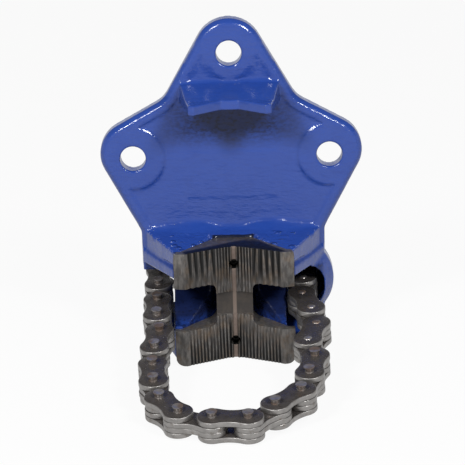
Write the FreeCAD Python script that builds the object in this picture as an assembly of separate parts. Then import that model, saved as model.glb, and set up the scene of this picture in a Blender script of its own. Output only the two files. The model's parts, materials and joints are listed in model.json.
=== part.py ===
import FreeCAD, Part
import math
import os

from FreeCAD import Vector

# Chain pipe vise, standing on the front end of its casting.
# Millimetres. X to the right, Y to the back, Z up.
# The bench face is the plane Y = 0. The side bolt holes lie on Z = 0 and the middle plane is X = 0.

# Base plate
plate_thickness = 11.0
plate_rim_bevel = 2.4
side_bolt_reach = 56.0
apex_bolt_rise = 60.0
bolt_hole_radius = 7.25
side_lug_radius = 18.6
side_lug_lift = 2.5
apex_lug_radius = 19.6
neck_radius = 16.0
neck_reach = 49.3
neck_rise = 45.7
waist_half_width = 52.6
waist_radius = 6.0
waist_drop = 45.0
plate_foot_drop = 66.1
plate_foot_radius = 4.0
side_pad_radius = 18.0
apex_pad_radius = 15.0
web_recess = 1.2
rim_width = 6.5

# Cradle in front of the plate
cradle_depth = 45.0
shoulder_drop = 42.6
shoulder_fall = 3.9
shoulder_back_half_width = 49.8
shoulder_front_half_width = 33.6
shoulder_thickness = 10.7
horn_back_half_width = 52.2
horn_front_half_width = 34.2
front_end_drop = 111.9
foot_half_width = 38.0
foot_radius = 13.0
flute_depth = 7.5
flute_back_share = 0.2
flute_back_height = 1.5
flute_front_height = 4.7
core_half_width = 21.0
core_depth = 9.0
core_top_drop = 52.0
core_foot_wall = 9.0

# Passages for the chain
passage_top_drop = 61.2
passage_height = 28.2
passage_foot_fall = 8.0
catch_inner_reach = 34.4
catch_ridge_depth = 3.5
catch_ridge_height = 2.0
eye_inner_reach = 30.4
eye_front_inner_reach = 29.2
eye_end_reach = 51.8
eye_corner_radius = 12.4
eye_inner_corner_radius = 6.2
eye_bulge_radius = 25.0
eye_bulge_reach = 32.4
eye_bulge_drop = 73.2
eye_bulge_depth = 25.0
eye_bulge_bevels = [(14.0, 9.0), (3.0, 12.0)]
scoop_wall = 4.0
scoop_back_drop = 69.0
scoop_back_depth = 15.0
scoop_front_wall = 5.0

# Pipe rest
rest_top_rise = 43.6
rest_fall = 4.8
rest_back_half_width = 29.0
rest_front_half_width = 23.0
rest_reach = 47.6
rest_valley_depth = 12.5
rest_lip_height = 5.4
rest_root_height = 11.9
rest_valley_half_width = 5.0
rest_wing_facet = 3.0

# Reversible jaw
jaw_half_width = 33.8
jaw_top_drop = 45.2
jaw_length = 66.2
bar_height = 20.6
web_half_width = 10.3
web_fillet = 4.0
web_teeth_run = 5.8
web_set_back = 1.6
jaw_proud = 6.0
jaw_core_thickness = 18.5
valley_depth = 12.5
valley_half_width = 4.0
end_facet_width = 6.2
end_facet_fall = 1.4
seat_flat_half_width = 10.5
seat_front_half_width = 30.0
jaw_tip_thickness = 4.6
jaw_foot_round = 4.5
jaw_top_round = 2.5
coarse_tooth_pitch = 3.3
fine_tooth_pitch = 1.65
even_tooth_pitch = 1.85
tooth_depth_share = 0.42
fine_teeth_half_width = 11.5
groove_width = 2.4
groove_depth = 1.4
jaw_screw_radius = 2.5
jaw_hole_radius = 2.8
jaw_screw_sink = 6.0
jaw_screw_grip = 7.0
socket_radius = 1.5
socket_depth = 2.5

# Chain
chain_pitch = 19.05
outer_link_count = 11
link_thickness = 3.0
link_gap = 0.1
link_end_radius = 8.2
link_waist_half_width = 6.4
link_end_sweep_deg = 112.0
link_end_corners = 6
pin_radius = 2.4
pin_corners = 10
pin_play = 0.05
stub_length = 3.0
stub_head_radius = 2.95
rivet_rise = 0.5
riveted_links = 3
chain_level_drop = 77.9
chain_droop_deg = 9.0
chain_lean_deg = 2.0
chain_start_reach = 40.5
chain_start_set_back = 7.9
link_headings_deg = [
    -2.0, -4.0, 14.0, 6.5, -16.5, 9.5, -11.0,
    -15.0, -47.0, -49.0, -97.0, -112.0, -147.5, -169.0,
    -177.5, -182.0, -187.0, -174.5, -179.5, -181.0, -181.0,
]

# Screw, nut and handle
tongue_thickness = 3.0
tongue_radius = 7.4
tongue_hole_play = 0.5
screw_radius = 6.0
screw_play = 0.08
screw_neck_gap = 1.0
screw_tail = 13.0
boss_radius = 14.5
boss_bore_radius = 11.6
boss_bore_depth = 25.0
boss_wall = 5.5
washer_radius = 11.0
washer_thickness = 2.4
hub_radius = 9.5
hub_grip = 12.0
hub_chamber = 21.5
hub_chamber_radius = 7.2
hub_head = 14.0
stop_radius = 6.9
stop_width = 1.6
bar_radius = 4.0
bar_play = 0.08
bar_length = 100.0
bar_rest_rise = 17.0
knob_radius = 6.5
knob_length = 8.0
knob_socket_depth = 5.0

# Overrun of every cutting tool past the face it leaves through
overrun = 5.0

droop = math.radians(chain_droop_deg)
lean = math.radians(chain_lean_deg)


def save(name, shape):
    """Write one sub-part under its node name."""
    shape.exportStep("parts/" + name + ".step")


def unit_at(degrees):
    return Vector(math.cos(math.radians(degrees)), math.sin(math.radians(degrees)), 0)


def belt(circles, inset):
    """Closed outline of lines tangent to arcs. A circle is (u, v, radius), run anticlockwise.

    A hollow corner has a negative radius. The inset moves the whole outline inwards.
    """
    centres = [Vector(u, v, 0) for u, v, radius in circles]
    radii = [radius - inset for u, v, radius in circles]
    count = len(circles)
    touches = []
    for i in range(count):
        j = (i + 1) % count
        span = centres[j] - centres[i]
        along = Vector(span).normalize()
        left = Vector(-along.y, along.x, 0)
        slant = (radii[j] - radii[i]) / span.Length
        inward = along * slant + left * math.sqrt(1 - slant * slant)
        touches.append((centres[i] - inward * radii[i], centres[j] - inward * radii[j], inward))
    edges = []
    for i in range(count):
        before = touches[i - 1]
        after = touches[i]
        middle = Vector(before[2] + after[2]).normalize()
        crown = centres[i] - middle * radii[i]
        edges.append(Part.Arc(before[1], crown, after[0]).toShape())
        edges.append(Part.LineSegment(after[0], after[1]).toShape())
    return Part.Wire(edges)


def stand_up(shape, depth):
    """Turn a flat outline so that its v axis points up, in the plane at this depth before the bench."""
    shape = shape.copy()
    shape.rotate(Vector(0, 0, 0), Vector(1, 0, 0), 90)
    shape.translate(Vector(0, -depth, 0))
    return shape


def polygon_face(points):
    return Part.Face(Part.makePolygon(points + [points[0]]))


def plan_prism(points, foot, top):
    """Prism over a plan outline of (x, depth before the bench) points, from height foot to top."""
    face = polygon_face([Vector(x, -depth, foot) for x, depth in points])
    return face.extrude(Vector(0, 0, top - foot))


def side_prism(points, left, right):
    """Prism over a side outline of (depth before the bench, height) points, from x left to right."""
    face = polygon_face([Vector(left, -depth, height) for depth, height in points])
    return face.extrude(Vector(right - left, 0, 0))


def front_prism(points, front, back):
    """Prism over a front outline of (x, height) points, between two depths before the bench."""
    face = polygon_face([Vector(x, -front, height) for x, height in points])
    return face.extrude(Vector(0, front - back, 0))


def bar_along_y(radius, x, z, front, back):
    """Round bar between two depths before the bench."""
    return Part.makeCylinder(radius, front - back, Vector(x, -front, z), Vector(0, 1, 0))


def mirrored(points):
    """A right-hand outline followed by its left-hand mirror, as one closed list."""
    return points + [(-x, other) for x, other in reversed(points)]


# Heights and depths that several pieces share
jaw_foot = -jaw_top_drop - jaw_length
jaw_middle = -jaw_top_drop - jaw_length / 2
passage_top = -passage_top_drop
passage_foot = passage_top - passage_height
jaw_reach = cradle_depth + jaw_proud
valley_reach = jaw_reach - valley_depth
seat_back_reach = valley_reach - jaw_core_thickness


def plate_circles():
    foot = plate_foot_radius - plate_foot_drop
    corner = waist_half_width - plate_foot_radius
    right = [
        (corner, foot, plate_foot_radius),
        (waist_half_width + waist_radius, -waist_drop, -waist_radius),
        (side_bolt_reach, side_lug_lift, side_lug_radius),
        (neck_reach, neck_rise, -neck_radius),
    ]
    left = [(-u, v, radius) for u, v, radius in reversed(right)]
    return right + [(0, apex_bolt_rise, apex_lug_radius)] + left


def bolt_places():
    return [(-side_bolt_reach, 0), (side_bolt_reach, 0), (0, apex_bolt_rise)]


def base_plate():
    """Three-lugged plate with a bevelled rim, a shallow web and a raised pad round each bolt hole."""
    plate = stand_up(Part.Face(belt(plate_circles(), 0)), plate_thickness)
    plate = plate.extrude(Vector(0, plate_thickness, 0))
    rim = [e for e in plate.Edges if e.BoundBox.YMax < -plate_thickness / 2]
    plate = plate.makeChamfer(plate_rim_bevel, rim)
    inner = stand_up(Part.Face(belt(plate_circles(), rim_width)), plate_thickness)
    web = inner.extrude(Vector(0, web_recess, 0))
    for x, z in bolt_places():
        radius = side_pad_radius if x else apex_pad_radius
        web = web.cut(bar_along_y(radius, x, z, plate_thickness, 0))
    return plate.cut(web)


def cradle():
    """Shoulder, the wider horns under it and the foot, in front of the plate's lower edge."""
    top = -shoulder_drop
    floor = -front_end_drop
    shoulder_foot = top - shoulder_thickness
    shoulder_plan = [
        (shoulder_back_half_width, 0),
        (shoulder_back_half_width, plate_thickness),
        (shoulder_front_half_width, cradle_depth),
    ]
    horn_plan = [
        (horn_back_half_width, 0),
        (horn_back_half_width, plate_thickness),
        (horn_front_half_width, cradle_depth),
    ]
    shoulder = plan_prism(mirrored(shoulder_plan), shoulder_foot, top)
    slope = side_prism(
        [
            (plate_thickness, top),
            (cradle_depth + overrun, top - shoulder_fall),
            (cradle_depth + overrun, top + overrun),
            (plate_thickness, top + overrun),
        ],
        -waist_half_width,
        waist_half_width,
    )
    horns = plan_prism(mirrored(horn_plan), floor, shoulder_foot)
    waist = waist_half_width
    corners = [
        (foot_half_width - foot_radius, floor + foot_radius, foot_radius),
        (waist - foot_radius, floor + 2 * foot_radius, foot_radius),
        (waist - plate_foot_radius, shoulder_foot + overrun, plate_foot_radius),
    ]
    left = [(-u, v, radius) for u, v, radius in reversed(corners)]
    outline = stand_up(Part.Face(belt(corners + left, 0)), cradle_depth + overrun)
    horns = horns.common(outline.extrude(Vector(0, cradle_depth + 2 * overrun, 0)))
    return shoulder.cut(slope).fuse(horns)


def flute(side):
    """Tapering recess along one flank, under the shoulder."""
    height = -shoulder_drop - shoulder_thickness
    ends = []
    for depth, reach, fall, sink in (
        (plate_thickness, horn_back_half_width, flute_back_height, flute_depth * flute_back_share),
        (cradle_depth + overrun, horn_front_half_width, flute_front_height, flute_depth),
    ):
        outer = Vector(side * (reach + overrun), -depth, height)
        lower = Vector(side * (reach + overrun), -depth, height - fall - fall * overrun / sink)
        inner = Vector(side * (reach - sink), -depth, height)
        ends.append(Part.makePolygon([outer, lower, inner, outer]))
    return Part.makeLoft(ends, True, True)


def jaw_seat():
    """Space that the back of the jaw fills in the cradle, open to the front."""
    slope = (seat_front_half_width - seat_flat_half_width) / (cradle_depth - seat_back_reach)
    plan = [
        (seat_flat_half_width, seat_back_reach),
        (seat_front_half_width + slope * overrun, cradle_depth + overrun),
    ]
    return plan_prism(mirrored(plan), -front_end_drop - overrun, -shoulder_drop + overrun)


def scoops():
    """Sloping hollows on both sides of the jaw's web, between the two bars."""
    outline = [
        (cradle_depth + overrun, passage_top),
        (scoop_back_depth, passage_top),
        (scoop_back_depth, -scoop_back_drop),
        (cradle_depth - scoop_front_wall, passage_foot),
        (cradle_depth + overrun, passage_foot),
    ]
    inner = web_half_width + scoop_wall
    right = side_prism(outline, inner, eye_front_inner_reach + overrun)
    left = side_prism(outline, -catch_inner_reach - overrun, -inner)
    return right.fuse(left)


def drooping_band(left, right, front, back, top):
    """Space for the chain between two depths. Its floor falls towards the front, as the chain does."""
    slope = passage_foot_fall / cradle_depth
    outline = [
        (front, top),
        (back, top),
        (back, passage_foot - slope * back),
        (front, passage_foot - slope * front),
    ]
    return side_prism(outline, left, right)


def catch_passage():
    """Left passage, open to the side. A ridge at its back catches the long pins of a tight chain."""
    outer = -waist_half_width - overrun
    front = cradle_depth + overrun
    before = drooping_band(outer, -catch_inner_reach, front, plate_thickness, passage_top)
    within = drooping_band(outer, -catch_inner_reach, front, catch_ridge_depth, -plate_foot_drop)
    under_ridge = -plate_foot_drop - catch_ridge_height
    behind = drooping_band(outer, -catch_inner_reach, front, -overrun, under_ridge)
    return before.fuse(within).fuse(behind)


def eye_passage():
    """Right passage: a round-ended hole that the screw draws the chain into."""
    front = cradle_depth + overrun
    outer_round = eye_corner_radius
    inner_round = eye_inner_corner_radius
    right = eye_end_reach - outer_round
    left = eye_inner_reach + inner_round
    corners = [
        (left, passage_foot + inner_round, inner_round),
        (right, passage_foot + outer_round, outer_round),
        (right, passage_top - outer_round, outer_round),
        (left, passage_top - inner_round, inner_round),
    ]
    hole = stand_up(Part.Face(belt(corners, 0)), front).extrude(Vector(0, front, 0))
    outer = waist_half_width + overrun
    inner = eye_front_inner_reach
    before = drooping_band(inner, outer, front, eye_bulge_depth, passage_top)
    beside = drooping_band(inner, eye_inner_reach + overrun, front, plate_thickness, passage_top)
    return hole.fuse(before).fuse(beside)


def eye_bulge():
    """Round outer wall of the eye. Two bevels in a row round its front edge."""
    bulge = bar_along_y(eye_bulge_radius, eye_bulge_reach, -eye_bulge_drop, eye_bulge_depth, 0)
    for fall, width in eye_bulge_bevels:
        cone = Part.makeCone(
            eye_bulge_radius - width,
            eye_bulge_radius - width + eye_bulge_depth * width / fall,
            eye_bulge_depth,
            Vector(eye_bulge_reach, -eye_bulge_depth, -eye_bulge_drop),
            Vector(0, 1, 0),
        )
        bulge = bulge.common(cone)
    keep = plan_prism(
        [
            (eye_inner_reach, 0),
            (eye_bulge_reach + eye_bulge_radius, 0),
            (eye_bulge_reach + eye_bulge_radius, eye_bulge_depth),
            (eye_inner_reach, eye_bulge_depth),
        ],
        -front_end_drop,
        -shoulder_drop,
    )
    return bulge.common(keep)


def rest_front_depths():
    """Front outline of the pipe rest, from its right end to the middle."""
    tip = rest_front_half_width
    return [
        (tip, rest_reach - rest_wing_facet / 2),
        (tip - rest_wing_facet, rest_reach),
        (rest_valley_half_width, rest_reach - rest_valley_depth),
    ]


def pipe_rest():
    """Ledge that falls to a lip with a shallow valley in it, in line with the jaw's valley."""
    plan = plan_prism(
        mirrored([(rest_back_half_width, plate_thickness / 2)] + rest_front_depths()),
        rest_top_rise - rest_root_height,
        rest_top_rise,
    )
    valley = rest_reach - rest_valley_depth
    lip_top = rest_top_rise - rest_fall
    outline = [
        (0, rest_top_rise),
        (plate_thickness, rest_top_rise),
        (valley, lip_top),
        (rest_reach, lip_top),
        (rest_reach, lip_top - rest_lip_height),
        (valley, lip_top - rest_lip_height),
        (plate_thickness, rest_top_rise - rest_root_height),
        (0, rest_top_rise - rest_root_height),
    ]
    return plan.common(side_prism(outline, -rest_back_half_width, rest_back_half_width))


def back_core():
    """Hollow in the bench face behind the jaw, as cast to keep the walls even."""
    top = -core_top_drop
    foot = -front_end_drop + core_foot_wall
    points = [(core_half_width, foot), (core_half_width, top)]
    return front_prism(mirrored(points), core_depth, -overrun)


def jaw_screw_heights():
    offset = (jaw_length - bar_height) / 2
    return [jaw_middle + offset, jaw_middle - offset]


def body_casting():
    body = base_plate().fuse(cradle()).fuse(eye_bulge()).fuse(screw_boss()).fuse(pipe_rest())
    for x, z in bolt_places():
        body = body.cut(bar_along_y(bolt_hole_radius, x, z, plate_thickness + overrun, -overrun))
    for side in (-1, 1):
        body = body.cut(flute(side))
    body = body.cut(jaw_seat()).cut(scoops()).cut(catch_passage()).cut(eye_passage())
    body = body.cut(screw_boss_bore()).cut(back_core())
    for z in jaw_screw_heights():
        tapped = bar_along_y(jaw_screw_radius, 0, z, seat_back_reach, seat_back_reach - jaw_screw_grip)
        body = body.cut(tapped)
    return body.removeSplitter()


def jaw_front(x):
    """Depth of the jaw's front before the bench at this distance from the middle."""
    flat_end = jaw_half_width - end_facet_width
    if abs(x) <= valley_half_width:
        return valley_reach
    if abs(x) <= flat_end:
        return valley_reach + valley_depth * (abs(x) - valley_half_width) / (flat_end - valley_half_width)
    return jaw_reach - end_facet_fall * (abs(x) - flat_end) / end_facet_width


def tooth_edges(pitches):
    """Crest places from the middle to the toothed end. Pitches are (pitch, up to this x) pairs."""
    places = [0.0]
    for pitch, limit in pitches:
        while places[-1] + pitch <= limit:
            places.append(places[-1] + pitch)
    return places


def toothed_front(pitches):
    """Right half of the front outline: a crest at each place, a root between two of them."""
    crests = tooth_edges(pitches)
    points = [(crests[0], jaw_front(crests[0]))]
    for left, right in zip(crests, crests[1:]):
        root = (left + right) / 2
        points.append((root, jaw_front(root) - tooth_depth_share * (right - left)))
        points.append((right, jaw_front(right)))
    flat_end = jaw_half_width - end_facet_width
    if crests[-1] < flat_end:
        points.append((flat_end, jaw_reach))
    points.append((jaw_half_width, jaw_reach - end_facet_fall))
    return points


def jaw_back():
    """Right half of the back outline, from the tip of the wing to the middle."""
    return [
        (jaw_half_width, jaw_reach - end_facet_fall - jaw_tip_thickness),
        (seat_front_half_width, cradle_depth),
        (seat_flat_half_width, seat_back_reach),
    ]


def toothed_bar(pitches, foot, top):
    half = toothed_front(pitches) + jaw_back()
    return plan_prism(half + [(-x, depth) for x, depth in reversed(half[1:])], foot, top)


def reversible_jaw():
    """Two toothed bars joined by a smooth web. The upper bar is coarse, the lower one fine."""
    flat_end = jaw_half_width - end_facet_width
    coarse = [(fine_tooth_pitch, fine_teeth_half_width), (coarse_tooth_pitch, flat_end)]
    even = [(even_tooth_pitch, flat_end)]
    upper = toothed_bar(coarse, jaw_middle, -jaw_top_drop)
    lower = toothed_bar(even, jaw_foot, jaw_middle)
    gap_top = -jaw_top_drop - bar_height
    gap_foot = jaw_foot + bar_height
    wing = jaw_half_width + overrun
    jaw = upper.fuse(lower)
    for side in (-1, 1):
        corners = [
            (web_half_width + web_fillet, gap_foot + web_fillet, web_fillet),
            (wing, gap_foot + web_fillet, web_fillet),
            (wing, gap_top - web_fillet, web_fillet),
            (web_half_width + web_fillet, gap_top - web_fillet, web_fillet),
        ]
        window = Part.Face(belt(corners, 0))
        if side < 0:
            window = window.mirror(Vector(0, 0, 0), Vector(1, 0, 0))
        jaw = jaw.cut(stand_up(window, jaw_reach + overrun).extrude(Vector(0, jaw_reach, 0)))
    smooth = front_prism(
        mirrored([
            (web_half_width + web_fillet, gap_foot + web_teeth_run),
            (web_half_width + web_fillet, gap_top - web_teeth_run),
        ]),
        jaw_reach,
        valley_reach - web_set_back,
    )
    groove = front_prism(
        mirrored([(groove_width / 2, jaw_foot - overrun), (groove_width / 2, -jaw_top_drop + overrun)]),
        jaw_reach,
        valley_reach - groove_depth,
    )
    rounded = [
        (jaw_half_width - jaw_foot_round, jaw_foot + jaw_foot_round, jaw_foot_round),
        (jaw_half_width - jaw_top_round, -jaw_top_drop - jaw_top_round, jaw_top_round),
    ]
    left = [(-u, v, radius) for u, v, radius in reversed(rounded)]
    front = jaw_reach + overrun
    keep = stand_up(Part.Face(belt(rounded + left, 0)), front).extrude(Vector(0, front, 0))
    jaw = jaw.cut(smooth).cut(groove).common(keep)
    for z in jaw_screw_heights():
        jaw = jaw.cut(bar_along_y(jaw_hole_radius, 0, z, jaw_reach, seat_back_reach - overrun))
    return jaw.removeSplitter()


def jaw_screws():
    """Two socket screws, sunk in the jaw's valley and gripped by the casting."""
    screws = []
    front = valley_reach - groove_depth - jaw_screw_sink
    for z in jaw_screw_heights():
        screw = bar_along_y(jaw_screw_radius, 0, z, front, seat_back_reach - jaw_screw_grip)
        corners = [unit_at(60 * i) * socket_radius for i in range(6)]
        socket = front_prism([(corner.x, z + corner.y) for corner in corners], front, front - socket_depth)
        screws.append(screw.cut(socket))
    return Part.makeCompound(screws)


def chain_pins():
    """Pin places in the chain's own plane: x and the distance forward."""
    places = [(chain_start_reach, -chain_start_set_back)]
    for heading in link_headings_deg:
        turn = math.radians(heading)
        x, forward = places[-1]
        places.append((x + chain_pitch * math.sin(turn), forward + chain_pitch * math.cos(turn)))
    return places


def chain_point(x, forward, height):
    """Point of the vise for a place in the drooping, slightly leaning plane of the chain."""
    rise = x * math.sin(lean) + height * math.cos(lean)
    return Vector(
        x * math.cos(lean) - height * math.sin(lean),
        -forward * math.cos(droop) - rise * math.sin(droop),
        -chain_level_drop - forward * math.sin(droop) + rise * math.cos(droop),
    )


def chain_start():
    """Middle of the first pin, where the chain meets the screw."""
    x, forward = chain_pins()[0]
    return chain_point(x, forward, 0)


def ring_of_corners(centre, radius, corners, along):
    """Closed polygon round a pin. Its first corner points along the link."""
    return [centre + unit_at(along + i * 360 / corners) * radius for i in range(corners)]


def link_outline(along, play):
    """Flat waisted plate with two pin holes. The first pin is at the origin."""
    direction = unit_at(along)
    side = unit_at(along + 90)
    far = direction * chain_pitch
    points = []
    for centre, facing in ((far, along), (Vector(0, 0, 0), along + 180)):
        for i in range(link_end_corners):
            angle = facing - link_end_sweep_deg + 2 * link_end_sweep_deg * i / (link_end_corners - 1)
            points.append(centre + unit_at(angle) * link_end_radius)
        waist_side = side if facing == along else side * -1
        points.append(far * 0.5 + waist_side * link_waist_half_width)
    plate = polygon_face(points)
    reach = (pin_radius + play) / (math.cos(math.pi / pin_corners) if play else 1)
    for centre in (Vector(0, 0, 0), far):
        plate = plate.cut(polygon_face(ring_of_corners(centre, reach, pin_corners, along)))
    return plate


def link_along(number):
    """Direction of a link in the flat plane, where forward is -Y."""
    return link_headings_deg[number] - 90


def lay_in_chain(shape, place):
    """Move a solid from the flat plane to a pin of the drooping chain."""
    x, forward = place
    shape = shape.copy()
    shape.rotate(Vector(0, 0, 0), Vector(0, 1, 0), -chain_lean_deg)
    shape.rotate(Vector(0, 0, 0), Vector(1, 0, 0), chain_droop_deg)
    shape.translate(chain_point(x, forward, 0))
    return shape


def link_plates(number, levels, play):
    """Plates of one link, each with its middle at one of the given heights above the chain's plane."""
    place = chain_pins()[number]
    along = link_along(number)
    outline = link_outline(along, play)
    plates = []
    for level in levels:
        plate = outline.copy()
        plate.translate(Vector(0, 0, level - link_thickness / 2))
        plates.append(lay_in_chain(plate.extrude(Vector(0, 0, link_thickness)), place))
    return Part.makeCompound(plates)


def faceted_bar(sections, along):
    """Solid with flat sides through a ring of corners at each (height, radius) section."""
    rings = [ring_of_corners(Vector(0, 0, height), radius, pin_corners, along) for height, radius in sections]
    faces = [polygon_face(rings[0]), polygon_face(rings[-1])]
    for low, high in zip(rings, rings[1:]):
        for i in range(pin_corners):
            faces.append(polygon_face([low[i - 1], low[i], high[i], high[i - 1]]))
    return Part.Solid(Part.Shell(faces))


def chain_pin(number, along, riveted):
    """Pin with a low rivet below and, above, a flared stub or a low rivet."""
    half_stack = 2 * link_thickness + 1.5 * link_gap
    sections = [
        (-half_stack - rivet_rise, pin_radius - rivet_rise),
        (-half_stack, pin_radius),
        (half_stack, pin_radius),
    ]
    if riveted:
        sections.append((half_stack + rivet_rise, pin_radius - rivet_rise))
    else:
        sections.append((half_stack + stub_length, stub_head_radius))
    return lay_in_chain(faceted_bar(sections, along), chain_pins()[number])


def outer_link(count):
    """Top and bottom plate of an outer link, counted from the screw."""
    level = 1.5 * (link_thickness + link_gap)
    return link_plates(2 * count, [level, -level], 0)


def outer_pins(count):
    """The two pins of an outer link. Those next to the screw are riveted over on both sides."""
    along = link_along(2 * count)
    return Part.makeCompound([chain_pin(2 * count + i, along, count < riveted_links) for i in (0, 1)])


def inner_link(count):
    """The two plates in the middle of an inner link."""
    level = 0.5 * (link_thickness + link_gap)
    return link_plates(2 * count + 1, [level, -level], pin_play)


def nut_seat():
    """Depth of the outer face of the boss wall, behind the bench face."""
    return -boss_bore_depth - boss_wall


def screw_front():
    """Depth at which the round rod begins, behind the first link's round end."""
    return -chain_start().y - link_end_radius - screw_neck_gap


def screw_tail_end():
    return nut_seat() - washer_thickness - hub_grip - screw_tail


def hub_front():
    return nut_seat() - washer_thickness


def bar_depth():
    return hub_front() - hub_grip - hub_chamber - hub_head / 2


def screw_boss():
    """Tube behind the eye that ends in the wall the nut pulls against."""
    start = chain_start()
    return bar_along_y(boss_radius, start.x, start.z, 0, nut_seat())


def screw_boss_bore():
    start = chain_start()
    wide = bar_along_y(boss_bore_radius, start.x, start.z, 0, -boss_bore_depth)
    through = bar_along_y(screw_radius + screw_play, start.x, start.z, 0, nut_seat() - overrun)
    return wide.fuse(through)


def chain_screw():
    """Threaded rod with a thin tongue for the first pin. Its axis stays square to the bench."""
    start = chain_start()
    half = tongue_thickness / 2
    foot = Vector(start.x, start.y, start.z - half)
    eye = Part.makeCylinder(tongue_radius, tongue_thickness, foot)
    front = screw_front()
    neck = plan_prism(
        [
            (start.x - tongue_radius, -start.y),
            (start.x + tongue_radius, -start.y),
            (start.x + screw_radius, front),
            (start.x + screw_radius, front - half),
            (start.x - screw_radius, front - half),
            (start.x - screw_radius, front),
        ],
        start.z - half,
        start.z + half,
    )
    rod = bar_along_y(screw_radius, start.x, start.z, front, screw_tail_end())
    hole = Part.makeCylinder(pin_radius + tongue_hole_play, tongue_thickness, foot)
    return eye.fuse(neck).fuse(rod).cut(hole).removeSplitter()


def thrust_washer():
    start = chain_start()
    washer = bar_along_y(washer_radius, start.x, start.z, nut_seat(), hub_front())
    bore = bar_along_y(screw_radius + screw_play, start.x, start.z, nut_seat(), hub_front())
    return washer.cut(bore)


def handle_nut():
    """Long nut: threaded in front, hollow for the screw's tail, cross-drilled at the head."""
    start = chain_start()
    front = hub_front()
    length = hub_grip + hub_chamber + hub_head
    hub = bar_along_y(hub_radius, start.x, start.z, front, front - length)
    thread = bar_along_y(screw_radius + screw_play, start.x, start.z, front, front - hub_grip)
    deep = front - hub_grip
    chamber = bar_along_y(hub_chamber_radius, start.x, start.z, deep, deep - hub_chamber)
    foot = Vector(start.x, -bar_depth(), start.z - hub_radius - overrun)
    cross = Part.makeCylinder(bar_radius + bar_play, 2 * (hub_radius + overrun), foot)
    return hub.cut(thread).cut(chamber).cut(cross)


def screw_stop():
    """Ring on the screw's tail that keeps the nut on."""
    start = chain_start()
    end = screw_tail_end()
    return bar_along_y(stop_radius, start.x, start.z, end, end - stop_width)


def bar_foot():
    return chain_start().z + bar_rest_rise - bar_length / 2


def tommy_bar():
    return Part.makeCylinder(bar_radius, bar_length, Vector(chain_start().x, -bar_depth(), bar_foot()))


def bar_knobs():
    """A pressed-on knob at each end of the bar."""
    knobs = []
    bar = tommy_bar()
    low = bar_foot() + knob_socket_depth - knob_length
    high = bar_foot() + bar_length - knob_socket_depth
    for height in (low, high):
        knob = Part.makeCylinder(knob_radius, knob_length, Vector(chain_start().x, -bar_depth(), height))
        knobs.append(knob.cut(bar))
    return Part.makeCompound(knobs)


def build():
    """Every sub-part of the vise by its node name."""
    nodes = {
        "body_casting": body_casting(),
        "reversible_jaw": reversible_jaw(),
        "jaw_screws": jaw_screws(),
        "chain_screw": chain_screw(),
        "screw_stop": screw_stop(),
        "thrust_washer": thrust_washer(),
        "handle_nut": handle_nut(),
        "tommy_bar": tommy_bar(),
        "bar_knobs": bar_knobs(),
    }
    for count in range(outer_link_count):
        label = "%02d" % (count + 1)
        nodes["outer_link_" + label] = outer_link(count)
        nodes["link_pins_" + label] = outer_pins(count)
        if count + 1 < outer_link_count:
            nodes["inner_link_" + label] = inner_link(count)
    return nodes


os.makedirs("parts", exist_ok=True)
for node_name, node_shape in build().items():
    save(node_name, node_shape)
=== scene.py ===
import json
import math

import bmesh
import bpy
import numpy as np
from mathutils import Matrix, Vector, noise

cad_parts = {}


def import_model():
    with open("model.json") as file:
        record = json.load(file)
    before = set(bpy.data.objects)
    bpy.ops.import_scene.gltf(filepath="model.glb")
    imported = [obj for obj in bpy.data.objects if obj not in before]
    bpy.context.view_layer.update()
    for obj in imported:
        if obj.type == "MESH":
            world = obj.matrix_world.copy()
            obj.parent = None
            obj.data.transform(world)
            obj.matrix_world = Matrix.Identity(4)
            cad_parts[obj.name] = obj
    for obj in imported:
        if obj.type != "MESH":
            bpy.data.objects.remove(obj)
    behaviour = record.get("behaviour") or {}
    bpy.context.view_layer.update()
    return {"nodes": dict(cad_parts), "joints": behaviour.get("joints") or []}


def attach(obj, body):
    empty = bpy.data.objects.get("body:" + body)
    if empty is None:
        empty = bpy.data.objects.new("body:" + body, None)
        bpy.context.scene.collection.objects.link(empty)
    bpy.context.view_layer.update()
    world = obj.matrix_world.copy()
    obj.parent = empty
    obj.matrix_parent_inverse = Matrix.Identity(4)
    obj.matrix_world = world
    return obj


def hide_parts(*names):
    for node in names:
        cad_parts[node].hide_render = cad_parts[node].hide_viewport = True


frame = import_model()

MM = 0.001
FLOOR = -111.9 * MM


def linked(name, mesh):
    """New object of the mesh, linked to the scene."""
    piece = bpy.data.objects.new(name, mesh)
    bpy.context.scene.collection.objects.link(piece)
    return piece


def applied(piece):
    """Turn the piece's modifiers into its mesh."""
    depsgraph = bpy.context.evaluated_depsgraph_get()
    mesh = bpy.data.meshes.new_from_object(piece.evaluated_get(depsgraph))
    piece.modifiers.clear()
    piece.data = mesh
    return piece


# Camera

def place_camera():
    azimuth = math.radians(0.25)
    elevation = math.radians(16.7)
    roll = math.radians(-1.52)
    target = Vector((-0.0004, -0.010, -0.0452))
    distance = 1.342
    away = Vector((
        math.sin(azimuth) * math.cos(elevation),
        -math.cos(azimuth) * math.cos(elevation),
        math.sin(elevation),
    ))
    level = Vector((math.cos(azimuth), math.sin(azimuth), 0))
    above = away.cross(level)
    right = math.cos(roll) * level + math.sin(roll) * above
    up = away.cross(right)
    data = bpy.data.cameras.new("photo_camera")
    data.sensor_fit = "HORIZONTAL"
    data.sensor_width = 36.0
    data.lens = 180.67
    data.clip_start = 0.05
    data.clip_end = 50
    camera = linked("photo_camera", data)
    turn = Matrix((right, up, away)).transposed().to_4x4()
    camera.matrix_world = Matrix.Translation(target + distance * away) @ turn
    bpy.context.scene.camera = camera


place_camera()


# Node helpers

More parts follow.
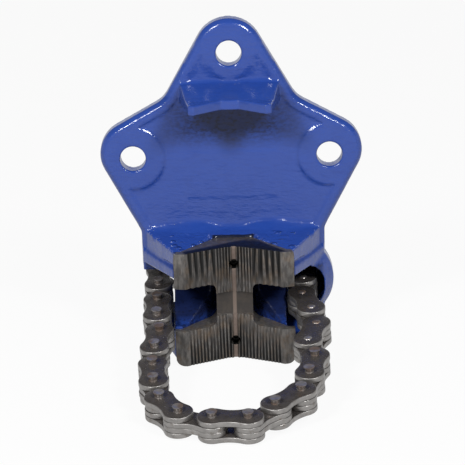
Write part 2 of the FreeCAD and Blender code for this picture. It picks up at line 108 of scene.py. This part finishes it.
class Shader:
    """A material with short calls for the nodes that several materials share."""

    def __init__(self, name):
        self.material = bpy.data.materials.new(name)
        self.material.use_nodes = True
        self.nodes = self.material.node_tree.nodes
        self.links = self.material.node_tree.links
        self.surface = self.nodes["Principled BSDF"]
        self.place = self.nodes.new("ShaderNodeTexCoord").outputs["Object"]

    def link(self, source, socket):
        """Give a socket a number, a tint or the output of another node."""
        if isinstance(source, (int, float)):
            socket.default_value = source
        elif isinstance(source, tuple):
            socket.default_value = (*source, 1)
        else:
            self.links.new(source, socket)

    def noise(self, size, detail=2.0, rough=0.5, stretch=None):
        """Noise with features of about this size in millimetres."""
        node = self.nodes.new("ShaderNodeTexNoise")
        node.inputs["Scale"].default_value = 1000 / size
        node.inputs["Detail"].default_value = detail
        node.inputs["Roughness"].default_value = rough
        place = self.place
        if stretch:
            mapping = self.nodes.new("ShaderNodeMapping")
            mapping.inputs["Scale"].default_value = stretch
            self.links.new(place, mapping.inputs["Vector"])
            place = mapping.outputs["Vector"]
        self.links.new(place, node.inputs["Vector"])
        return node.outputs["Fac"]

    def ramp(self, source, low, high, out_low=0.0, out_high=1.0):
        """The source mapped from its low and high to two others, and held beyond them."""
        node = self.nodes.new("ShaderNodeMapRange")
        node.inputs["From Min"].default_value = low
        node.inputs["From Max"].default_value = high
        node.inputs["To Min"].default_value = out_low
        node.inputs["To Max"].default_value = out_high
        self.link(source, node.inputs["Value"])
        return node.outputs["Result"]

    def math(self, kind, a, b):
        node = self.nodes.new("ShaderNodeMath")
        node.operation = kind
        self.link(a, node.inputs[0])
        self.link(b, node.inputs[1])
        return node.outputs[0]

    def mix(self, share, a, b):
        node = self.nodes.new("ShaderNodeMix")
        node.data_type = "RGBA"
        self.link(share, node.inputs["Factor"])
        self.link(a, node.inputs["A"])
        self.link(b, node.inputs["B"])
        return node.outputs["Result"]

    def attribute(self, name):
        node = self.nodes.new("ShaderNodeAttribute")
        node.attribute_name = name
        return node.outputs["Fac"]

    def drops(self, size, reach):
        """Height of round drops about this far apart in millimetres, one at the top of each.

        The reach is a drop's radius as a share of their distance.
        """
        node = self.nodes.new("ShaderNodeTexVoronoi")
        node.inputs["Scale"].default_value = 1000 / size
        self.links.new(self.place, node.inputs["Vector"])
        away = self.ramp(node.outputs["Distance"], 0.0, reach)
        return self.math("SUBTRACT", 1.0, self.math("MULTIPLY", away, away))

    def bump(self, source, depth, before=None):
        """Bump of a given depth in millimetres."""
        node = self.nodes.new("ShaderNodeBump")
        node.inputs["Distance"].default_value = depth * MM
        self.link(source, node.inputs["Height"])
        if before:
            self.links.new(before, node.inputs["Normal"])
        return node.outputs["Normal"]

    def set(self, **inputs):
        names = {"color": "Base Color", "metal": "Metallic", "rough": "Roughness", "normal": "Normal",
                 "coat": "Coat Weight", "coat_rough": "Coat Roughness", "specular": "Specular IOR Level"}
        for key, value in inputs.items():
            self.link(value, self.surface.inputs[names[key]])
        return self.material


def enamel():
    """Thick glossy blue enamel over a rough casting, with painted shade: darker and less shiny where the
    shade attribute is high.

    Drops of paint stand on it where "wet" is high.
    """
    s = Shader("blue_enamel")
    shade, light = (0.0125, 0.041, 0.218), (0.0165, 0.051, 0.26)
    # A darker streak blue, and the near-black tint of the painted shade.
    streak, shade_tint = (0.006, 0.024, 0.17), (0.005, 0.007, 0.022)
    tint = s.mix(s.noise(30, 3), shade, light)
    streaks = s.ramp(s.noise(3.2, 4, 0.65, (0.35, 1, 1.5)), 0.50, 0.72)
    tint = s.mix(s.math("MULTIPLY", streaks, 0.3), tint, streak)
    # Painted shade: where the shade attribute is high, the tint is speckled and then fully darkened to the
    # near-black shade tint.
    painted_shade = s.attribute("painted_shade")
    shade_speckle = s.ramp(s.noise(2.0, 3, 0.6, (0.7, 1, 1.2)), 0.40, 0.60, 0.35, 1.0)
    dark = s.math("MAXIMUM", s.math("MULTIPLY", painted_shade, shade_speckle), s.ramp(painted_shade, 0.7, 1.0))
    tint = s.mix(dark, tint, shade_tint)
    lumps = s.bump(s.noise(9, 2, 0.4), 0.30)
    peel = s.bump(s.noise(2.4, 3, 0.5, (0.6, 1, 1.3)), 0.28, lumps)
    drops = s.bump(s.math("MULTIPLY", s.attribute("wet"), s.drops(6.5, 0.38)), 1.5, peel)
    rough = s.ramp(s.noise(14, 2), 0.3, 0.7, 0.14, 0.24)
    # Less specular and coat in the painted shade.
    shine = s.ramp(painted_shade, 0.0, 0.8, 0.5, 0.30)
    coat = s.ramp(painted_shade, 0.0, 0.8, 0.15, 0.05)
    return s.set(color=tint, rough=rough, normal=drops, specular=shine, coat=coat, coat_rough=0.05)


def jaw_steel():
    """Dark hardened steel, browned by rust, with painted shade black between the teeth, and worn on their
    crests.
    """
    s = Shader("jaw_steel")
    steel, brown = (0.062, 0.058, 0.056), (0.095, 0.07, 0.05)
    worn, black = (0.26, 0.245, 0.23), (0.003, 0.003, 0.003)
    stain = s.ramp(s.noise(6, 4, 0.6), 0.45, 0.66)
    tint = s.mix(stain, steel, brown)
    chips = s.ramp(s.noise(1.6, 3, 0.6, (1, 1, 0.3)), 0.4, 0.7)
    root = s.attribute("root")
    crest = s.ramp(root, 0.02, 0.28, 0.45, 0.0)
    tint = s.mix(s.math("MULTIPLY", chips, crest), tint, worn)
    # Painted shade: black towards the roots of the teeth, where the root attribute is high.
    tint = s.mix(s.ramp(root, 0.08, 0.42), tint, black)
    grain = s.bump(s.noise(0.9, 3, 0.6), 0.05)
    rough = s.ramp(s.noise(3, 3), 0.3, 0.7, 0.36, 0.55)
    return s.set(color=tint, metal=0.45, rough=rough, normal=grain)


def web_steel():
    """Machined face of the jaw's web with a brown bloom and a coppery line down its middle."""
    s = Shader("web_steel")
    dark, brown, copper = (0.034, 0.029, 0.026), (0.052, 0.042, 0.034), (0.15, 0.115, 0.095)
    line_core, line_edge = 0.8 * MM, 1.2 * MM
    bloom = s.ramp(s.noise(4, 4, 0.6), 0.4, 0.7)
    tint = s.mix(bloom, dark, brown)
    places = s.nodes.new("ShaderNodeSeparateXYZ")
    s.links.new(s.place, places.inputs["Vector"])
    line = s.ramp(s.math("ABSOLUTE", places.outputs["X"], 0.0), line_core, line_edge, 1.0, 0.0)
    tint = s.mix(line, tint, copper)
    lines = s.bump(s.noise(1.0, 2, 0.6, (1, 1, 0.12)), 0.04)
    return s.set(color=tint, metal=0.3, rough=0.45, normal=lines)


def groove_copper():
    """Coppery bottom of the jaw's centre groove."""
    s = Shader("groove_copper")
    dark, light = (0.10, 0.075, 0.062), (0.215, 0.165, 0.14)
    tint = s.mix(s.noise(3, 3), dark, light)
    return s.set(color=tint, metal=0.6, rough=0.4)


def plate_face():
    """Flat faces of the link plates, dark and oily."""
    s = Shader("plate_face")
    dark, light, brown = (0.050, 0.044, 0.042), (0.100, 0.089, 0.083), (0.13, 0.08, 0.05)
    tint = s.mix(s.noise(5, 3, 0.55), dark, light)
    rust = s.ramp(s.noise(4, 4, 0.65), 0.60, 0.74)
    tint = s.mix(s.math("MULTIPLY", rust, 0.6), tint, brown)
    rough = s.ramp(s.noise(2.5, 3, 0.6), 0.35, 0.7, 0.20, 0.42)
    smear = s.bump(s.noise(2.2, 2, 0.5), 0.05)
    return s.set(color=tint, metal=0.55, rough=rough, normal=smear)


def plate_edge():
    """Cut edges of the link plates, grey and brushed along the cut, black where "seam" is one."""
    s = Shader("plate_edge")
    dark, light = (0.17, 0.162, 0.157), (0.38, 0.365, 0.35)
    brown, black = (0.13, 0.095, 0.07), (0.010, 0.009, 0.009)
    tint = s.mix(s.noise(3, 4, 0.6), dark, light)
    rust = s.ramp(s.noise(3.2, 4, 0.65), 0.56, 0.70)
    tint = s.mix(s.math("MULTIPLY", rust, 0.6), tint, brown)
    tint = s.mix(s.attribute("seam"), tint, black)
    lines = s.bump(s.noise(0.9, 3, 0.6, (0.3, 0.3, 1.4)), 0.12)
    return s.set(color=tint, metal=0.8, rough=0.4, normal=lines)


def pin_steel():
    """Ends of the chain pins, grey with brown rust in places."""
    s = Shader("pin_steel")
    dark, light, brown = (0.25, 0.23, 0.22), (0.52, 0.49, 0.47), (0.18, 0.10, 0.055)
    rust = s.ramp(s.noise(9, 3, 0.6), 0.46, 0.60)
    tint = s.mix(s.noise(2.0, 3), dark, light)
    tint = s.mix(s.math("MULTIPLY", rust, 0.7), tint, brown)
    rough = s.math("ADD", 0.28, s.math("MULTIPLY", rust, 0.2))
    return s.set(color=tint, metal=0.8, rough=rough, normal=s.bump(s.noise(1.1, 2), 0.05))


def plain_steel(name, dark, light, roughness):
    """Steel of one kind all over, between two tints."""
    s = Shader(name)
    tint = s.mix(s.noise(8, 3), dark, light)
    rough = s.ramp(s.noise(2.5, 3), 0.3, 0.7, roughness - 0.06, roughness + 0.08)
    return s.set(color=tint, metal=0.95, rough=rough, normal=s.bump(s.noise(1.0, 2), 0.02))


ENAMEL = enamel()
JAW = jaw_steel()
WEB = web_steel()
COPPER = groove_copper()
PLATE_FACE = plate_face()
PLATE_EDGE = plate_edge()
PIN = pin_steel()
OILED = plain_steel("oiled_steel", (0.16, 0.155, 0.15), (0.26, 0.25, 0.24), 0.34)
BLACKED = plain_steel("blacked_steel", (0.012, 0.012, 0.012), (0.03, 0.028, 0.026), 0.45)
ZINC = plain_steel("zinc_plate", (0.42, 0.43, 0.45), (0.58, 0.58, 0.60), 0.28)


# Casting, in millimetres from the bench face midway between the side bolts

BOLT_HOLES = ((-56, 0), (56, 0), (0, 60))
BOLT_HOLE_RADIUS = 7.25
CORNER_DEPTH = 9.4
REST_FOOT = 42.6
SHOULDER_TOP = -43.2

# Soft boxes: low limit, high limit and soft border along x, y and z. But for the panel, x is the
# distance from the middle, so that each box stands on both sides.
THICK_RUNS = (13, 31, 3), (-44, -18, 3), (-49, -38, 1)
BARE_PANEL = (-25, 25, 3), (-10.5, -8, 0.5), (-23, 2, 2.5)
# Where painted shade darkens the enamel: the pockets, the chain passages, the jaw seat, and a painted
# shadow under the pipe rest.
POCKETS = (9, 34.2, 0.3), (-44.6, -9, 0.5), (-86, -60, 20)
POCKET_HEIGHTS = (-110, -50, 1)
CHAIN_PASSAGES = (34, 50, 2), (-30, 4, 4), (-90, -63, 1.5)
JAW_SEAT = (0, 11.5, 1.5), (-22.5, -19, 0.7), (-60, -43.6, 0.4)
SHADOW_UNDER_REST = (0, 20, 26), (-14, -8, 1), (16, 30, 12)
WET_SHOULDER = (14, 33, 3), (-46, -20, 3), (-49, -40, 1)


def corner_strip(name, depth, height, stations):
    """Filler along an inner corner at this depth before the bench and height.

    Each station gives its place along x, how far it runs forward and how far it rises, in millimetres.
    """
    corners = []
    for x, forward, rise in stations:
        corners += [(x, -depth, height), (x, -depth - forward, height), (x, -depth, height + rise)]
    faces = [(0, 1, 2), tuple(len(corners) - 3 + i for i in (2, 1, 0))]
    for i in range(0, len(corners) - 3, 3):
        for a, b in ((0, 1), (1, 2), (2, 0)):
            faces.append((i + b, i + a, i + 3 + a, i + 3 + b))
    mesh = bpy.data.meshes.new(name)
    mesh.from_pydata([tuple(c * MM for c in corner) for corner in corners], [], faces)
    return mesh


def vectors(mesh, name):
    """Array of one vector of each vertex, such as its place."""
    values = np.empty(len(mesh.vertices) * 3)
    mesh.vertices.foreach_get(name, values)
    return values.reshape(-1, 3)


def smoothed(mesh, weights, rounds):
    """Pull each vertex towards the mean of its neighbours, by its own weight."""
    count = len(mesh.vertices)
    co = vectors(mesh, "co")
    ends = np.empty(len(mesh.edges) * 2, np.int64)
    mesh.edges.foreach_get("vertices", ends)
    a, b = ends[0::2], ends[1::2]
    number = np.bincount(a, minlength=count) + np.bincount(b, minlength=count)
    number = np.maximum(number, 1)[:, None]
    pull = weights(co)[:, None]
    for _ in range(rounds):
        total = np.zeros_like(co)
        for axis in range(3):
            total[:, axis] = np.bincount(a, co[b, axis], count) + np.bincount(b, co[a, axis], count)
        co += pull * (total / number - co)
    mesh.vertices.foreach_set("co", co.ravel())
    mesh.update()


def cast_weights(co):
    """Full rounding on the cast skin, less on the rest and the back, little at the foot and the holes.

    The bench face has none.
    """
    full, rest, back, hole, foot = 0.6, 0.3, 0.3, 0.1, 0.05
    rest_low, rest_high, rest_start = 29, 46, -14
    hole_edge = 1.6
    bench_skin, back_start = -0.5, 1.0
    foot_top = -111.4
    x, y, z = (co / MM).T
    weight = np.full(len(co), full)
    weight[(z > rest_low) & (z < rest_high) & (y < rest_start)] = rest
    for hole_x, hole_z in BOLT_HOLES:
        away = np.hypot(x - hole_x, z - hole_z)
        weight[np.abs(away - BOLT_HOLE_RADIUS) < hole_edge] = hole
    weight[y > bench_skin] = 0.0
    weight[y > back_start] = back
    weight[z < foot_top] = foot
    return weight


def between(value, low, high):
    return (value > low) & (value < high)


def corner_weights(co):
    """The hollows beside the apex pad and the corner over the shoulder, which run smoothly into the web.

    The rim of the plate above the shoulder is rounded a little more too.
    """
    full, rim_share = 0.6, 0.15
    apex_sides, apex_back, apex_heights = (8, 26), -5, (46, 66)
    corner_half, corner_depths, corner_heights = 46, (-24, -8), (-46, -33)
    rim_depths, rim_foot = (-11.6, -8), -40
    x, y, z = (co / MM).T
    side = np.abs(x)
    apex = between(side, *apex_sides) & (y < apex_back) & between(z, *apex_heights)
    corner = (side < corner_half) & between(y, *corner_depths) & between(z, *corner_heights)
    rim = between(y, *rim_depths) & (z > rim_foot)
    return np.where(apex | corner, full, np.where(rim, rim_share, 0.0))


def inside(value, low, high, soft):
    """One between the limits, falling to zero over a soft distance outside them."""
    return np.clip((value - low) / soft + 1, 0, 1) * np.clip((high - value) / soft + 1, 0, 1)


def soft_box(across, mm, sides, depths, heights):
    """One inside a soft box, with the distance across given for each vertex."""
    return inside(across, *sides) * inside(mm[:, 1], *depths) * inside(mm[:, 2], *heights)


def lumpy(mesh):
    """Uneven skin of the casting, with runs of thick paint on the shoulder and a raised bare panel."""
    broad, broad_size = 0.10, 11
    fine, fine_size = 0.03, 4
    panel_rise = 0.22
    run_rise, run_size, run_start = 0.55, 3.3, Vector((7, 3, 1))
    skin_start, skin_border = -0.6, 2
    co = vectors(mesh, "co")
    normal = vectors(mesh, "normal")
    mm = co / MM
    skin = np.clip((skin_start - mm[:, 1]) / skin_border, 0, 1)
    runs = soft_box(np.abs(mm[:, 0]), mm, *THICK_RUNS)
    panel = soft_box(mm[:, 0], mm, *BARE_PANEL)
    lift = np.empty(len(mm))
    for i, point in enumerate(mm):
        place = Vector(point)
        swell = broad * noise.noise(place / broad_size) + fine * noise.noise(place / fine_size)
        lift[i] = swell + panel_rise * panel[i]
        if runs[i] > 0:
            lift[i] += runs[i] * run_rise * abs(noise.noise(place / run_size + run_start))
    co += normal * (lift * skin * MM)[:, None]
    mesh.vertices.foreach_set("co", co.ravel())
    mesh.update()


def shade_and_wet_attributes(mesh):
    """Attributes of the casting: painted shade in the pockets, the chain passages and the jaw seat, a
    painted shadow under the rest, and "wet" where drops stand.
    """
    pocket_share, passage_share, under_share = 0.97, 0.85, 0.88
    mm = vectors(mesh, "co") / MM
    side = np.abs(mm[:, 0])
    pocket = soft_box(side, mm, *POCKETS) * inside(mm[:, 2], *POCKET_HEIGHTS)
    passage = soft_box(side, mm, *CHAIN_PASSAGES)
    seat = soft_box(side, mm, *JAW_SEAT)
    # Painted shadow under the pipe rest.
    under = soft_box(side, mm, *SHADOW_UNDER_REST)
    painted_shade = np.maximum.reduce([pocket * pocket_share, passage * passage_share, seat, under * under_share])
    wet = soft_box(side, mm, *WET_SHOULDER)
    for name, values in (("painted_shade", painted_shade), ("wet", wet)):
        layer = mesh.attributes.new(name, "FLOAT", "POINT")
        layer.data.foreach_set("value", values.astype(np.float32))


def cast_body():
    """The casting with the rounded edges and filled corners that the mould gives it."""
    source = frame["nodes"]["body_casting"]
    piece = linked("cast_body", source.data.copy())
    rest = [(-25, 3, 3), (25, 3, 3)]
    right = [(6, 3, 3), (15, 8, 5), (26, 9, 5.5), (36, 5, 4), (48, 3, 3)]
    left = [(-x, forward, rise) for x, forward, rise in reversed(right)]
    extra = [
        corner_strip("rest_fillet", CORNER_DEPTH, REST_FOOT, rest),
        corner_strip("shoulder_fillet", CORNER_DEPTH, SHOULDER_TOP, left + right),
    ]
    voxel = 0.5
    rounds = 4
    corner_rounds = 60
    work = bmesh.new()
    work.from_mesh(piece.data)
    for mesh in extra:
        work.from_mesh(mesh)
    work.to_mesh(piece.data)
    work.free()
    remesh = piece.modifiers.new("skin", "REMESH")
    remesh.mode = "VOXEL"
    remesh.voxel_size = voxel * MM
    applied(piece)
    smoothed(piece.data, cast_weights, rounds)
    smoothed(piece.data, corner_weights, corner_rounds)
    lumpy(piece.data)
    shade_and_wet_attributes(piece.data)
    piece.data.shade_smooth()
    piece.data.materials.clear()
    piece.data.materials.append(ENAMEL)
    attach(piece, "base")
    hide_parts("body_casting")


cast_body()


# Refined copies of machined pieces

def refined(node, body, material, width, segments=2):
    """Copy of a CAD node with its flat faces joined and its edges bevelled by a width in millimetres."""
    flat, edge, crease = math.radians(1.0), math.radians(28), math.radians(38)
    piece = linked(node + "_finished", frame["nodes"][node].data.copy())
    work = bmesh.new()
    work.from_mesh(piece.data)
    bmesh.ops.remove_doubles(work, verts=work.verts, dist=1e-6)
    bmesh.ops.dissolve_limit(work, angle_limit=flat, verts=work.verts, edges=work.edges)
    work.to_mesh(piece.data)
    work.free()
    piece.data.materials.clear()
    piece.data.materials.append(material)
    bevel = piece.modifiers.new("edges", "BEVEL")
    bevel.width = width * MM
    bevel.segments = segments
    bevel.limit_method = "ANGLE"
    bevel.angle_limit = edge
    bevel.use_clamp_overlap = True
    applied(piece)
    piece.data.shade_smooth()
    piece.data.set_sharp_from_angle(angle=crease)
    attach(piece, body)
    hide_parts(node)
    return piece


def jaw_envelope(x):
    """Distance of the jaw's crests before the bench at this distance from the middle, in millimetres."""
    flat, bend, end = 4, 27.6, 33.8
    valley, v_depth, end_fall = 38.5, 12.5, 1.4
    x = abs(x)
    if x < flat:
        return valley
    if x < bend:
        return valley + v_depth * (x - flat) / (bend - flat)
    return valley + v_depth - end_fall * (x - bend) / (end - bend)


def finish_jaw():
    """The jaw with three finishes, and "root", which is one between its teeth and zero on their crests."""
    groove_half, groove_front, groove_widest = 1.25, -37.6, 3
    web_half, web_low, web_high = 12, -91.5, -65.2
    bar_half, low_bar_top, high_bar_foot = 27.7, -92, -64
    tooth_depth, deepest = 0.9, 1.9
    jaw = refined("reversible_jaw", "base", JAW, 0.18)
    jaw.data.materials.append(WEB)
    jaw.data.materials.append(COPPER)
    for face in jaw.data.polygons:
        x, y, z = (c / MM for c in face.center)
        front = face.normal.y < -0.9
        ends = [jaw.data.vertices[i].co.x / MM for i in face.vertices]
        narrow = max(ends) - min(ends) < groove_widest
        if front and abs(x) < groove_half and y > groove_front and narrow:
            face.material_index = 2
        elif front and web_low < z < web_high and abs(x) < web_half:
            face.material_index = 1
    root = []
    for vertex in jaw.data.vertices:
        x, y, z = (c / MM for c in vertex.co)
        depth = jaw_envelope(x) + y
        bar = z > high_bar_foot or z < low_bar_top
        toothed = bar and depth < deepest and abs(x) < bar_half
        root.append(min(max(depth / tooth_depth, 0), 1) if toothed else 0)
    layer = jaw.data.attributes.new("root", "FLOAT", "POINT")
    layer.data.foreach_set("value", root)


finish_jaw()
refined("jaw_screws", "base", BLACKED, 0.25)
refined("thrust_washer", "base", OILED, 0.3)
refined("chain_screw", "screw", OILED, 0.3)
refined("screw_stop", "screw", OILED, 0.2)
refined("handle_nut", "nut", ZINC, 0.8, 3)
refined("tommy_bar", "bar", ZINC, 0.4)
refined("bar_knobs", "bar", ZINC, 1.2, 4)


# Chain

def joint_places():
    """Middle of each chain pin from the joints of the frame, with the free pin's last, and their axis."""
    pins = [Vector(j["pos_m"]) for j in frame["joints"] if j["name"].startswith("pin_")]
    axis = Vector(next(j for j in frame["joints"] if j["name"] == "pin_01")["axis"]).normalized()
    work = frame["nodes"]["outer_link_11"].data
    middle = sum((v.co for v in work.vertices), Vector()) / len(work.vertices)
    return pins + [2 * middle - pins[-1]], axis


PINS, AXIS = joint_places()
PITCH = 19.05
PLATE = 3.0
GAP = 0.1
END_RADIUS = 8.1
WAIST = 6.4
HALF_STACK = 2 * PLATE + 1.5 * GAP
OUTER_LEVEL = 1.5 * (PLATE + GAP)
INNER_LEVEL = 0.5 * (PLATE + GAP)
RIVETED_PAIRS = 3


def link_frame(start, end):
    """Matrix from a link's own space to the vise: x along the link, z along the pins."""
    along = (end - start).normalized()
    across = AXIS.cross(along)
    turn = Matrix((along, across, AXIS)).transposed().to_4x4()
    return Matrix.Translation(start) @ turn


def plate_outline():
    """Outline of a waisted plate in millimetres, from tangent arcs."""
    steps = 14
    half = PITCH / 2
    hollow = (half ** 2 + WAIST ** 2 - END_RADIUS ** 2) / (2 * (END_RADIUS - WAIST))
    rise = WAIST + hollow
    lean = math.atan2(rise, half)
    points = []
    for i in range(2 * steps + 1):
        sweep = -(math.pi - lean) + 2 * (math.pi - lean) * i / (2 * steps)
        points.append((PITCH + END_RADIUS * math.cos(sweep), END_RADIUS * math.sin(sweep)))
    for i in range(1, steps):
        turn = -lean - (math.pi - 2 * lean) * i / steps
        points.append((half + hollow * math.cos(turn), rise + hollow * math.sin(turn)))
    for i in range(2 * steps + 1):
        sweep = lean + 2 * (math.pi - lean) * i / (2 * steps)
        points.append((END_RADIUS * math.cos(sweep), END_RADIUS * math.sin(sweep)))
    for i in range(1, steps):
        turn = math.pi - lean - (math.pi - 2 * lean) * i / steps
        points.append((half + hollow * math.cos(turn), -rise + hollow * math.sin(turn)))
    return points


def plates(name, start, end, levels, seed):
    """Plates of one link as one mesh, with rounded edges and their own small misfits."""
    chance = np.random.default_rng(seed)
    outline = plate_outline()
    misfit = 0.12
    edge, bevel = PLATE / 2, 0.38
    nose = bevel * 0.3
    border, seam_depth = 0.01, 1
    crease = math.radians(50)
    work = bmesh.new()
    seam = work.verts.layers.float.new("seam")
    place = link_frame(start, end)
    for level in levels:
        shift = chance.normal(0, misfit, 2)
        rings = []
        for height, inset in (
            (-edge, bevel), (-edge + nose, nose), (-edge + bevel, 0),
            (edge - bevel, 0), (edge - nose, nose), (edge, bevel),
        ):
            ring = []
            hidden = abs(height) > edge - border and abs(level + height) < HALF_STACK - seam_depth
            for x, y in outline:
                spine = Vector((min(max(x, 0), PITCH), 0))
                out = (Vector((x, y)) - spine).normalized()
                point = Vector((x, y)) - out * inset
                corner = Vector((point.x + shift[0], point.y + shift[1], level + height))
                vertex = work.verts.new(corner * MM)
                vertex[seam] = 1 if hidden else 0
                ring.append(vertex)
            rings.append(ring)
        for low, high in zip(rings, rings[1:]):
            for i in range(len(outline)):
                face = work.faces.new((low[i - 1], low[i], high[i], high[i - 1]))
                face.material_index = 1
        work.faces.new(list(reversed(rings[0])))
        work.faces.new(rings[-1])
    work.transform(place)
    mesh = bpy.data.meshes.new(name)
    bmesh.ops.recalc_face_normals(work, faces=work.faces)
    work.to_mesh(mesh)
    work.free()
    mesh.materials.append(PLATE_FACE)
    mesh.materials.append(PLATE_EDGE)
    mesh.shade_smooth()
    mesh.set_sharp_from_angle(angle=crease)
    return linked(name, mesh)


def pin_profile(riveted):
    """Radius and height pairs of a pin from its lower rivet to its top, in millimetres."""
    rivet = [(0, 0.5), (1.4, 0.45), (2.3, 0.15), (2.45, -0.3)]
    low = [(radius, -HALF_STACK - height) for radius, height in rivet]
    if riveted:
        return low + [(radius, HALF_STACK + height) for radius, height in reversed(rivet)]
    neck = [(2.38, 0), (2.25, 0.3), (2.4, 1.2)]
    head = [(2.75, 0.7), (3.0, 0.22), (2.98, 0.05), (2.8, 0), (2.4, 0.12), (0, 0.16)]
    top = HALF_STACK + 3.1
    stub = [(radius, HALF_STACK + height) for radius, height in neck]
    return low + stub + [(radius, top - fall) for radius, fall in head]


def pins(name, places, riveted):
    """Turned pins, one at each place, in one mesh."""
    sides = 32
    crease = math.radians(60)
    work = bmesh.new()
    for place in places:
        turn = AXIS.to_track_quat("Z", "Y").to_matrix().to_4x4()
        rings = []
        for radius, height in pin_profile(riveted):
            ring = []
            for i in range(sides if radius else 1):
                angle = 2 * math.pi * i / sides
                point = Vector((radius * math.cos(angle), radius * math.sin(angle), height)) * MM
                ring.append(work.verts.new(Matrix.Translation(place) @ turn @ point))
            rings.append(ring)
        for low, high in zip(rings, rings[1:]):
            for i in range(sides):
                j = (i + 1) % sides
                if len(low) == 1:
                    work.faces.new((low[0], high[j], high[i]))
                elif len(high) == 1:
                    work.faces.new((low[i], low[j], high[0]))
                else:
                    work.faces.new((low[i], low[j], high[j], high[i]))
    mesh = bpy.data.meshes.new(name)
    bmesh.ops.recalc_face_normals(work, faces=work.faces)
    work.to_mesh(mesh)
    work.free()
    mesh.materials.append(PIN)
    mesh.shade_smooth()
    mesh.set_sharp_from_angle(angle=crease)
    return linked(name, mesh)


def chain():
    """Plates and pins of every link; the even ones are outer links, which carry the pins."""
    for j in range(len(PINS) - 1):
        label = "%02d" % (j // 2 + 1)
        start, end = PINS[j], PINS[j + 1]
        if j % 2 == 0:
            piece = plates("outer_plates_" + label, start, end, (OUTER_LEVEL, -OUTER_LEVEL), j)
            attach(piece, "outer_" + label)
            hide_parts("outer_link_" + label)
            both = pins("turned_pins_" + label, (start, end), j // 2 < RIVETED_PAIRS)
            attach(both, "outer_" + label)
            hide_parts("link_pins_" + label)
        else:
            piece = plates("inner_plates_" + label, start, end, (INNER_LEVEL, -INNER_LEVEL), j)
            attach(piece, "inner_" + label)
            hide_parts("inner_link_" + label)


chain()


# Floor, lamps and world

def backdrop_material():
    """Pale floor. Seen straight or in gloss it is nearly white, and it keeps the object's shadow."""
    camera_share, gloss_share, grey = 0.93, 0.6, 0.6
    material = bpy.data.materials.new("floor")
    material.use_nodes = True
    nodes = material.node_tree.nodes
    links = material.node_tree.links
    nodes.clear()
    out = nodes.new("ShaderNodeOutputMaterial")
    mix = nodes.new("ShaderNodeMixShader")
    diffuse = nodes.new("ShaderNodeBsdfDiffuse")
    glow = nodes.new("ShaderNodeEmission")
    path = nodes.new("ShaderNodeLightPath")
    straight = nodes.new("ShaderNodeMath")
    straight.operation = "MULTIPLY"
    straight.inputs[1].default_value = camera_share
    gloss = nodes.new("ShaderNodeMath")
    gloss.operation = "MULTIPLY_ADD"
    gloss.inputs[1].default_value = gloss_share
    diffuse.inputs["Color"].default_value = (grey, grey, grey, 1)
    glow.inputs["Strength"].default_value = 1.0
    links.new(path.outputs["Is Camera Ray"], straight.inputs[0])
    links.new(path.outputs["Is Glossy Ray"], gloss.inputs[0])
    links.new(straight.outputs[0], gloss.inputs[2])
    links.new(gloss.outputs[0], mix.inputs["Fac"])
    links.new(diffuse.outputs[0], mix.inputs[1])
    links.new(glow.outputs[0], mix.inputs[2])
    links.new(mix.outputs[0], out.inputs["Surface"])
    return material


def floor():
    mesh = bpy.data.meshes.new("floor")
    reach = 6.0
    mesh.from_pydata(
        [(-reach, -reach, FLOOR), (reach, -reach, FLOOR), (reach, reach, FLOOR), (-reach, reach, FLOOR)],
        [],
        [(0, 1, 2, 3)],
    )
    piece = linked("floor", mesh)
    mesh.materials.append(backdrop_material())


def lamp(name, place, power):
    """Square lamp at this place in metres, turned to the origin."""
    side = 0.22
    data = bpy.data.lights.new(name, "AREA")
    data.shape = "RECTANGLE"
    data.size = side
    data.size_y = side
    data.energy = power
    piece = linked(name, data)
    place = Vector(place)
    turn = place.to_track_quat("Z", "Y")
    piece.matrix_world = Matrix.Translation(place) @ turn.to_matrix().to_4x4()


def world():
    """White to the camera, bright round the horizon and dim overhead in gloss, and dim elsewhere."""
    horizon, overhead = 0.85, 0.16
    fade_start, fade_end = 0.08, 0.55
    soft_light = 0.30
    cool_white = (0.97, 0.98, 1, 1)
    data = bpy.data.worlds.new("studio")
    bpy.context.scene.world = data
    data.use_nodes = True
    nodes = data.node_tree.nodes
    links = data.node_tree.links
    nodes.clear()
    out = nodes.new("ShaderNodeOutputWorld")
    soft = nodes.new("ShaderNodeBackground")
    gloss = nodes.new("ShaderNodeBackground")
    white = nodes.new("ShaderNodeBackground")
    shine = nodes.new("ShaderNodeMixShader")
    mix = nodes.new("ShaderNodeMixShader")
    path = nodes.new("ShaderNodeLightPath")
    place = nodes.new("ShaderNodeTexCoord")
    split = nodes.new("ShaderNodeSeparateXYZ")
    fade = nodes.new("ShaderNodeMapRange")
    fade.inputs["From Min"].default_value = fade_start
    fade.inputs["From Max"].default_value = fade_end
    fade.inputs["To Min"].default_value = horizon
    fade.inputs["To Max"].default_value = overhead
    fade.interpolation_type = "SMOOTHSTEP"
    gloss.inputs["Color"].default_value = cool_white
    soft.inputs["Strength"].default_value = soft_light
    white.inputs["Strength"].default_value = 1.0
    links.new(place.outputs["Generated"], split.inputs[0])
    links.new(split.outputs["Z"], fade.inputs["Value"])
    links.new(fade.outputs["Result"], gloss.inputs["Strength"])
    links.new(path.outputs["Is Glossy Ray"], shine.inputs["Fac"])
    links.new(soft.outputs[0], shine.inputs[1])
    links.new(gloss.outputs[0], shine.inputs[2])
    links.new(path.outputs["Is Camera Ray"], mix.inputs["Fac"])
    links.new(shine.outputs[0], mix.inputs[1])
    links.new(white.outputs[0], mix.inputs[2])
    links.new(mix.outputs[0], out.inputs["Surface"])


floor()
world()
lamp("left_box", (-0.51, -0.86, 0.70), 11)
lamp("right_box", (0.51, -0.86, 0.70), 10.5)

bpy.context.scene.view_settings.view_transform = "Standard"
